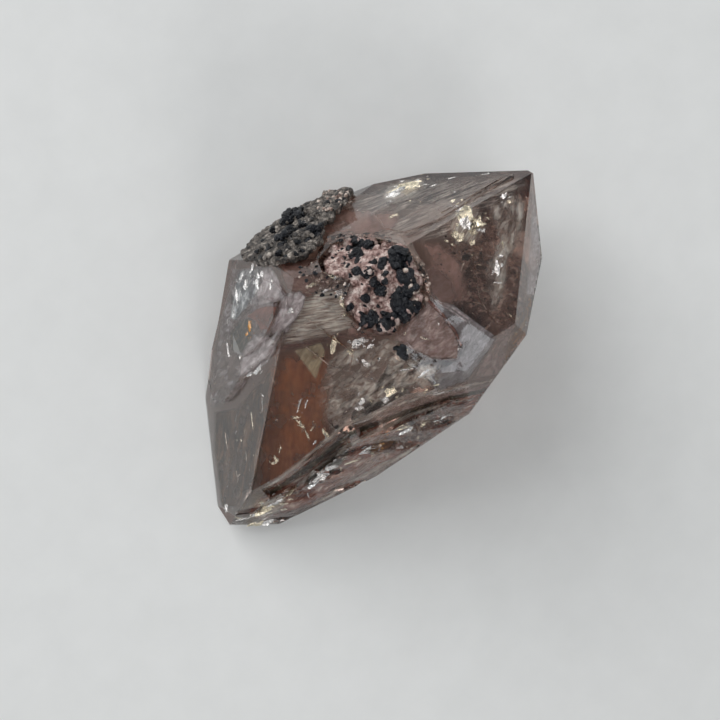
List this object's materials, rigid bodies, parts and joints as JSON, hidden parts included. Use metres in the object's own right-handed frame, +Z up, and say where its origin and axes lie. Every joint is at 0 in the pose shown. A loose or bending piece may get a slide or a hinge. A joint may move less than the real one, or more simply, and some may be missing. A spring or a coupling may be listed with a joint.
{
  "type": "herkimer diamond quartz crystal",
  "caption": "Doubly terminated clear quartz crystal with a dark drusy crust on one shoulder and a crusted pocket in its front face, resting on a flat prism face.",
  "frame": {"origin": "centre of the object's box in plan, on the surface that it rests on", "axes": "+X along the crystal's long axis towards the tip that is at upper right in the picture, +Z up, out of the front prism face, away from the resting face"},
  "size_m": [0.0406, 0.0234, 0.0218],
  "materials": {
    "quartz": "clear, faintly smoky and rosy quartz with flat glossy crystal faces",
    "pocket_crust": "black glossy grains in pale cream and pink crumbly matrix",
    "shoulder_crust": "dark grey rough crust with shiny black grains"
  },
  "bodies": {
    "root": {"quartz_crystal": "quartz", "pocket_crust": "pocket_crust", "shoulder_crust": "shoulder_crust"}
  },
  "joints": []
}
